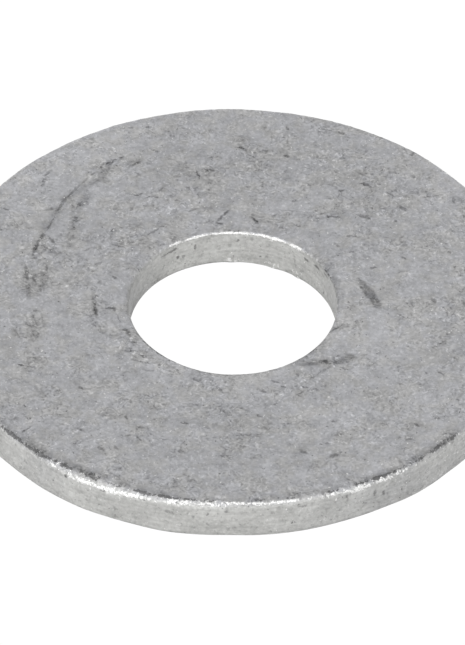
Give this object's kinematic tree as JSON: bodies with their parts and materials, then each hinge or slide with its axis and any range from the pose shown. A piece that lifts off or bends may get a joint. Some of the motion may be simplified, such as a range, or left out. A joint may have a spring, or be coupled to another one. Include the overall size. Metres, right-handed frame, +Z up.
{
  "type": "flat washer",
  "caption": "Round flat washer with a wide bearing face and a plain hole, spreading a bolt's or nut's load.",
  "frame": {"origin": "centre of the hole on the lower bearing face", "axes": "+Z up along the hole, towards the upper face with the larger rolled edges; +X and +Y lie in the lower face, in any turn about Z"},
  "size_m": [0.037, 0.037, 0.0028],
  "materials": {
    "galvanised_steel": "matt hot-dip galvanised zinc, mottled and scuffed, with brighter rubbed edges"
  },
  "bodies": {
    "root": {"washer": "galvanised_steel"}
  },
  "joints": []
}
